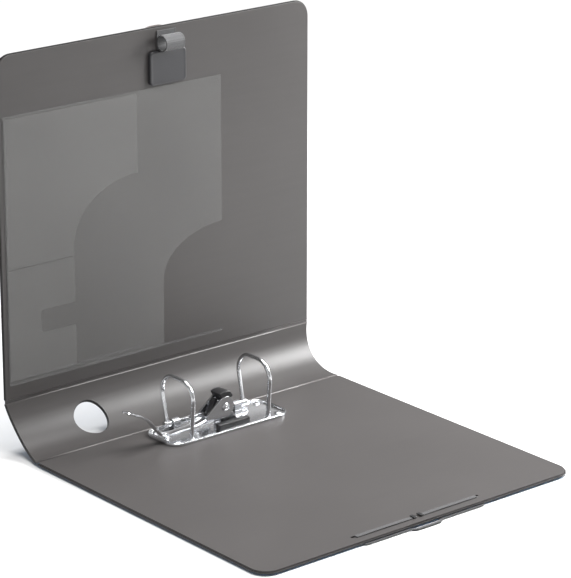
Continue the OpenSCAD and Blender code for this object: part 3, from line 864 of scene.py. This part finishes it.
class LEVER_FILE_OT_lever(bpy.types.Operator):
    """Make the lever, its bracket and rivet, the roller, the stop block and the spring"""
    bl_idname = "lever_file.lever"
    bl_label = "Lever"

    def execute(self, context):
        for node, width, slot, body in (
                ("lever_bracket", 0.35, "pressed_steel", "back_cover"),
                ("lever_cheeks", 0.35, "plated_steel", "lever"),
                ("lever_cap", 0.6, "black_plastic", "lever"),
                ("lever_pad", 0.5, "black_plastic", "lever"),
                ("stop_block", 0.7, "black_plastic", "back_cover"),
                ("roller_pin", 0.2, "pressed_steel", "lever")):
            piece_from("steel_" + node if "steel" in slot else "moulded_" + node,
                       softened(node, width, 3), slot, body, (node,))
        self.arm()
        self.heads()
        low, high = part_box("roller")
        r = (high.z - low.z) / 2 / MM
        x0, x1 = low.x / MM, high.x / MM
        roller = lathe("roller", (
            (1.3, x0), (2.2, x0), (2.3, x0 + 0.15), (r - 0.35, x0 + 0.15), (r - 0.08, x0 + 0.4),
            (r, x0 + 0.9), (r, x1 - 0.9), (r - 0.08, x1 - 0.4), (r - 0.35, x1 - 0.15),
            (2.3, x1 - 0.15), (2.2, x1), (1.3, x1)), (0, ROLLER_Y, (low.z + high.z) / 2 / MM), "X")
        piece_from("bright_roller", even_shading(roller, 40), "pressed_steel", "roller", ("roller",))
        low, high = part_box("return_spring")
        source = path_mesh("coil", [[mm(0, 0, 0), mm(0, 1, 0)]])
        coil = grown("coil", source, coil_tree(), {
            "Wire Radius": 0.42 * MM, "Coil Radius": 2.9 * MM,
            "Turns": context.scene.file_sizes.coil_turns, "Length": high.y - low.y,
            "Centre": (SHAFT_X * MM, low.y, SHAFT_Z * MM), "Material": FINISHES["pressed_steel"]})
        piece_from("spring_coil", coil, "pressed_steel", "back_cover", ("return_spring",))
        return {"FINISHED"}

    def arm(self):
        """A pressed strip with turned-up sides that runs low and rises in a hook to its tongue."""
        marks = ((-16.6, -7.1), (-23, -9.2), (-32, -10.7), (-44, -11.2), (-56, -11.5), (-63.2, -9.9),
                 (-68, -5.0), (-72.5, 0.8), (-77, 5.9), (-83, 10.0), (-91, 13.9), (-100.6, 18.4))
        path = curve_through([mm(LEVER_X, PIVOT_Y + y, PIVOT_Z + z) for y, z in marks])
        rings = []
        count = len(path)
        for i, point in enumerate(path):
            ahead = (path[min(i + 1, count - 1)] - path[max(i - 1, 0)]).normalized()
            up = Vector((1, 0, 0)).cross(ahead).normalized()
            if up.z < 0:
                up = -up
            along = i / (count - 1)
            tongue = max(0.0, (along - 0.93) / 0.07)
            half = 3.78 * math.sqrt(max(0.05, 1 - tongue * tongue * 0.94))
            dish = 0.9 * (1 - tongue)
            ring = []
            for side, thick in ((1, 0.72), (-1, -0.72)):
                for k in range(13):
                    u = side * (1 - 2 * k / 12)
                    lift = dish * abs(u) ** 3
                    edge = math.sqrt(max(0.0, 1 - max(0.0, (abs(u) - 0.86) / 0.14) ** 2))
                    ring.append(point + Vector((u * half * MM, 0, 0))
                                + up * (lift - dish * 0.4 + thick * edge) * MM)
            rings.append(ring)
        mesh = loft("lever_strip", rings)
        piece_from("lever_strip", even_shading(mesh, 50), "plated_steel", "lever", ("lever_arm",))

    def heads(self):
        """The pivot rivet, with a domed head, a turned ring round it and a plain far end."""
        low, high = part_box("pivot_rivet")
        x0, x1 = low.x / MM, high.x / MM
        rivet = lathe("pivot", (
            (0.4, x0), (1.6, x0 + 0.05), (2.4, x0 + 0.3), (2.8, x0 + 0.75), (2.9, x0 + 0.98),
            (1.99, x0 + 1.0), (1.99, x1 - 1.12), (3.5, x1 - 1.1), (3.5, x1 - 0.8), (3.2, x1 - 0.45),
            (2.6, x1 - 0.2), (1.9, x1 - 0.12), (1.7, x1 - 0.3), (1.3, x1 - 0.3), (1.1, x1 - 0.1),
            (0.4, x1)), (0, PIVOT_Y, PIVOT_Z), "X", 40)
        piece_from("domed_pivot", even_shading(rivet, 40), "plated_steel", "back_cover",
                   ("pivot_rivet",))


class LEVER_FILE_OT_pockets(bpy.types.Operator):
    """Give the two pockets their frosted film and weld their edges to the front cover"""
    bl_idname = "lever_file.pockets"
    bl_label = "Pockets"

    def execute(self, context):
        for node in ("large_pocket", "small_pocket"):
            cad[node].data.materials.clear()
            cad[node].data.materials.append(FINISHES["pocket_film"])
        tree = weld_tree()
        w = 1.42
        large = [on_cover(235, 6.2, w), on_cover(14.4, 6.2, w), on_cover(14.4, 222, w)]
        small = [on_cover(233, 7.2, w + 0.3), on_cover(18.2, 7.2, w + 0.3),
                 on_cover(18.2, 135, w + 0.3)]
        dashes = grown("welds", path_mesh("welds", [large, small]), tree, {
            "Pitch": context.scene.file_sizes.weld_pitch, "Dash Height": 0.10 * MM,
            "Material": FINISHES["welded_film"]})
        piece_from("pocket_welds", dashes, "pocket_film", "front_cover", (), ("welded_film",))
        beads = wire("beads", [
            [on_cover(236, 5.1, 1.30), on_cover(13, 5.1, 1.30), on_cover(13, 222.9, 1.30)],
            [on_cover(236, 5.1, 1.32), on_cover(236, 98, 1.32)],
            [on_cover(234, 6.1, 1.60), on_cover(17, 6.1, 1.60), on_cover(17, 135.9, 1.60)],
            [on_cover(109.5, 5.5, 1.60), on_cover(109.5, 68.5, 1.60)],
            [on_cover(110.7, 5.5, 1.60), on_cover(110.7, 68.5, 1.60)]], 0.14, 0.5, "welded_film")
        piece_from("pocket_edges", beads, "pocket_film", "front_cover", (), ("welded_film",))
        return {"FINISHED"}


class LEVER_FILE_OT_pen_holder(bpy.types.Operator):
    """Make the pen pad and its woven loop"""
    bl_idname = "lever_file.pen_holder"
    bl_label = "Pen holder"

    def execute(self, context):
        low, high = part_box("pen_pad")
        w0, w1 = low.x / MM - FRONT_X, high.x / MM - FRONT_X
        u0, u1 = low.z / MM - FRONT_Z, high.z / MM - FRONT_Z
        y0, y1 = low.y / MM, high.y / MM
        profile = ((0.0, w0), (0.0, w1 - 0.95), (0.08, w1 - 0.6), (0.3, w1 - 0.28), (0.65, w1 - 0.07),
                   (1.1, w1), (1.8, w1), (2.3, w1 - 0.14), (3.0, w1 - 0.18), (3.4, w1 - 0.18))
        rings = []
        for inset, w in profile:
            flat = rounded_ring(u0 + inset, y0 + inset, u1 - inset, y1 - inset,
                                max(0.4, 3.5 - inset * 0.8), w)
            rings.append([on_cover(*p) for p in flat])
        piece_from("pen_pad_moulding", even_shading(loft("pen_pad", rings), 50), "pad",
                   "front_cover", ("pen_pad",))
        piece_from("pen_ribbon", softened("pen_loop", 0.2, 2), "ribbon", "front_cover",
                   ("pen_loop",))
        return {"FINISHED"}


class LEVER_FILE_OT_button(bpy.types.Operator):
    """Make the oval closure button with its grip hole"""
    bl_idname = "lever_file.button"
    bl_label = "Closure button"

    def execute(self, context):
        centre_u = COVER_D - 19
        profile = (
            (34, 39, 0.0), (34, 39, 1.9), (34.4, 39.4, 2.0), (36.8, 41.8, 2.02), (37.5, 42.5, 2.2),
            (37.9, 42.9, 2.55), (38, 43, 3.0), (37.85, 42.85, 3.5), (37.3, 42.3, 3.9),
            (36.3, 41.3, 4.14), (34.8, 39.9, 4.19), (32, 37.4, 4.08), (28, 33.9, 3.9),
            (24.4, 30.8, 3.84), (22.4, 29.1, 3.86), (21.2, 28.0, 3.72), (20.4, 27.3, 3.4),
            (20.05, 27.05, 2.9), (20, 27, 2.2), (20, 27, 0.0))
        rings = []
        for wide, tall, height in profile:
            ring = []
            for i in range(96):
                a = 2 * math.pi * i / 96
                shift = math.copysign((tall - wide) / 2, math.sin(a)) if abs(math.sin(a)) > 1e-6 else 0
                u = centre_u + wide / 2 * math.cos(a)
                y = MID_Y + wide / 2 * math.sin(a) + shift
                ring.append(on_cover(u, y, -SHEET / 2 - height))
            rings.append(ring)
        mesh = loft("oval_button", rings, closed=True)
        piece_from("oval_button", even_shading(mesh, 50), "button", "front_cover",
                   ("closure_button",))
        return {"FINISHED"}


class LEVER_FILE_OT_elastic(bpy.types.Operator):
    """Make the elastic: two inner stretches with their ends, two legs and the loop"""
    bl_idname = "lever_file.elastic"
    bl_label = "Elastic closure"

    def execute(self, context):
        low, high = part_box("inner_elastic")
        x = (low.x + high.x) / 2 / MM
        z = (low.z + high.z) / 2 / MM
        parts = []
        for side in (-1, 1):
            path = [mm(x, MID_Y + side * (5.3 + 56.4 * i / 40),
                       z + 0.22 * math.sin(math.pi * i / 40)) for i in range(41)]
            parts.append(strip("stretch", path, [(high.x - low.x) / MM] * len(path), 0.7))
        piece_from("elastic_stretches", joined("elastic_stretches", parts), "elastic",
                   "back_cover", ("inner_elastic",))
        piece_from("elastic_clips", softened("elastic_ends", 0.25, 3), "black_plastic",
                   "back_cover", ("elastic_ends",))
        for side, name in ((-1, "foot"), (1, "head")):
            self.leg(side, "elastic_leg_" + name)
        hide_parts("band_legs")
        self.loop()
        return {"FINISHED"}

    def leg(self, side, name):
        """One leg, from its slot under the cover and along the fore edge to the loop."""
        start, turn = MID_Y + side * 62, 4.1
        corner_x = ELASTIC_X - turn
        path = [mm(corner_x - back, start, ELASTIC_Z) for back in (8, 4, 0)]
        path += [mm(corner_x + turn * math.sin(a), start - side * turn * (1 - math.cos(a)), ELASTIC_Z)
                 for a in (math.pi / 16 * k for k in range(1, 9))]
        far, end = start - side * turn, MID_Y + side * 16
        path += [mm(ELASTIC_X, far + (end - far) * i / 60, ELASTIC_Z) for i in range(1, 61)]
        made = piece_from(name, strip(name, path, [1.5] * len(path), ELASTIC_THICK), "elastic")
        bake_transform(made)

    def loop(self):
        """The loop that hooks behind the button, widest at its far end."""
        low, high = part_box("band_loop")
        far = (low.x + high.x) / 2 / MM
        outline = ((ELASTIC_X, 16), (ELASTIC_X + 0.4, 15), (ELASTIC_X + 1.7, 13.4),
                   (far - 0.2, 11.4), (far, 8), (far, 0))
        marks = [mm(x, MID_Y - half, ELASTIC_Z) for x, half in outline]
        marks += [Vector((p.x, 2 * MID_Y * MM - p.y, p.z)) for p in reversed(marks[:-1])]
        path = curve_through(marks, 6)
        last = len(path) - 1
        widths = [1.5 + 1.2 * min(1.0, min(i, last - i) / 10) for i in range(last + 1)]
        piece_from("elastic_loop", strip("elastic_loop", path, widths, ELASTIC_THICK), "elastic",
                   "band", ("band_loop",))


class LEVER_FILE_OT_label(bpy.types.Operator):
    """Give the spine's label its printed frame and its clear pocket"""
    bl_idname = "lever_file.label"
    bl_label = "Label"

    def execute(self, context):
        piece_from("label_sheet", softened("label_card", 0.05, 1), "card", "label", ("label_card",))
        piece_from("label_pocket", softened("label_holder", 0.08, 2), "clear_film", "spine",
                   ("label_holder",))
        return {"FINISHED"}


class LEVER_FILE_OT_stage(bpy.types.Operator):
    """Make the pale floor, the soft lights and the camera"""
    bl_idname = "lever_file.stage"
    bl_label = "Stage"

    def execute(self, context):
        scene = context.scene
        half = 6.0
        floor = bpy.data.objects.new("studio_floor", mesh_from(
            "studio_floor", [(-half, -half, -0.0006), (half, -half, -0.0006),
                             (half, half, -0.0006), (-half, half, -0.0006)], [(0, 1, 2, 3)]))
        scene.collection.objects.link(floor)
        floor.data.materials.append(floor_finish())
        world = bpy.data.worlds.new("studio_air")
        world.use_nodes = True
        world.node_tree.nodes["Background"].inputs["Color"].default_value = (1.0, 1.0, 1.0, 1.0)
        world.node_tree.nodes["Background"].inputs["Strength"].default_value = 0.40
        scene.world = world
        self.light(scene, "key", (0.36, 0.98, 0.62), 0.5, 20.0)
        self.light(scene, "overhead", (-0.25, 0.85, 4.2), 2.8, 290.0)
        self.light(scene, "fill", (1.4, -2.0, 1.5), 1.4, 3.0)
        scene.view_settings.view_transform = "Standard"
        camera = bpy.data.cameras.new("view")
        camera.lens = 183.3
        camera.sensor_width = 36.0
        camera.clip_end = 50.0
        viewer = bpy.data.objects.new("view", camera)
        scene.collection.objects.link(viewer)
        target = Vector((-0.3399, 0.5406, -0.0537))
        azimuth, elevation, distance = math.radians(50.31), math.radians(18.46), 2.9406
        back = Vector((math.sin(azimuth) * math.cos(elevation),
                       -math.cos(azimuth) * math.cos(elevation), math.sin(elevation)))
        viewer.location = target + back * distance
        viewer.rotation_euler = back.to_track_quat("Z", "Y").to_euler()
        scene.camera = viewer
        return {"FINISHED"}

    def light(self, scene, name, place, size, power):
        lamp = bpy.data.lights.new(name, "AREA")
        lamp.shape = "DISK"
        lamp.size = size
        lamp.energy = power
        made = bpy.data.objects.new(name, lamp)
        scene.collection.objects.link(made)
        made.location = place
        made.visible_camera = False
        aim = Vector(place) - Vector((0.1, 0.16, 0.1))
        made.rotation_euler = aim.to_track_quat("Z", "Y").to_euler()


OPERATORS = (
    LEVER_FILE_OT_covers, LEVER_FILE_OT_spine, LEVER_FILE_OT_plate, LEVER_FILE_OT_arches,
    LEVER_FILE_OT_lever, LEVER_FILE_OT_pockets, LEVER_FILE_OT_pen_holder, LEVER_FILE_OT_button,
    LEVER_FILE_OT_elastic, LEVER_FILE_OT_label, LEVER_FILE_OT_stage,
)


class LEVER_FILE_PT_panel(bpy.types.Panel):
    """The file's pieces, sizes and colours"""
    bl_idname = "LEVER_FILE_PT_panel"
    bl_label = "Lever Arch File"
    bl_space_type = "VIEW_3D"
    bl_region_type = "UI"
    bl_category = "Lever Arch File"

    def draw(self, context):
        layout = self.layout
        for group in (context.scene.file_sizes, context.scene.file_colours):
            box = layout.box()
            for name in group.__annotations__:
                box.prop(group, name)
        for operator in OPERATORS:
            layout.operator(operator.bl_idname)


CLASSES = (FileSizes, FileColours) + OPERATORS + (LEVER_FILE_PT_panel,)


def register():
    for cls in CLASSES:
        bpy.utils.register_class(cls)
    bpy.types.Scene.file_sizes = bpy.props.PointerProperty(type=FileSizes)
    bpy.types.Scene.file_colours = bpy.props.PointerProperty(type=FileColours)


def unregister():
    del bpy.types.Scene.file_colours
    del bpy.types.Scene.file_sizes
    for cls in reversed(CLASSES):
        bpy.utils.unregister_class(cls)


def main():
    register()
    make_finishes(bpy.context.scene)
    bent_wire_tree()
    for operator in OPERATORS:
        group, name = operator.bl_idname.split(".")
        getattr(getattr(bpy.ops, group), name)()


if __name__ == "__main__":
    main()
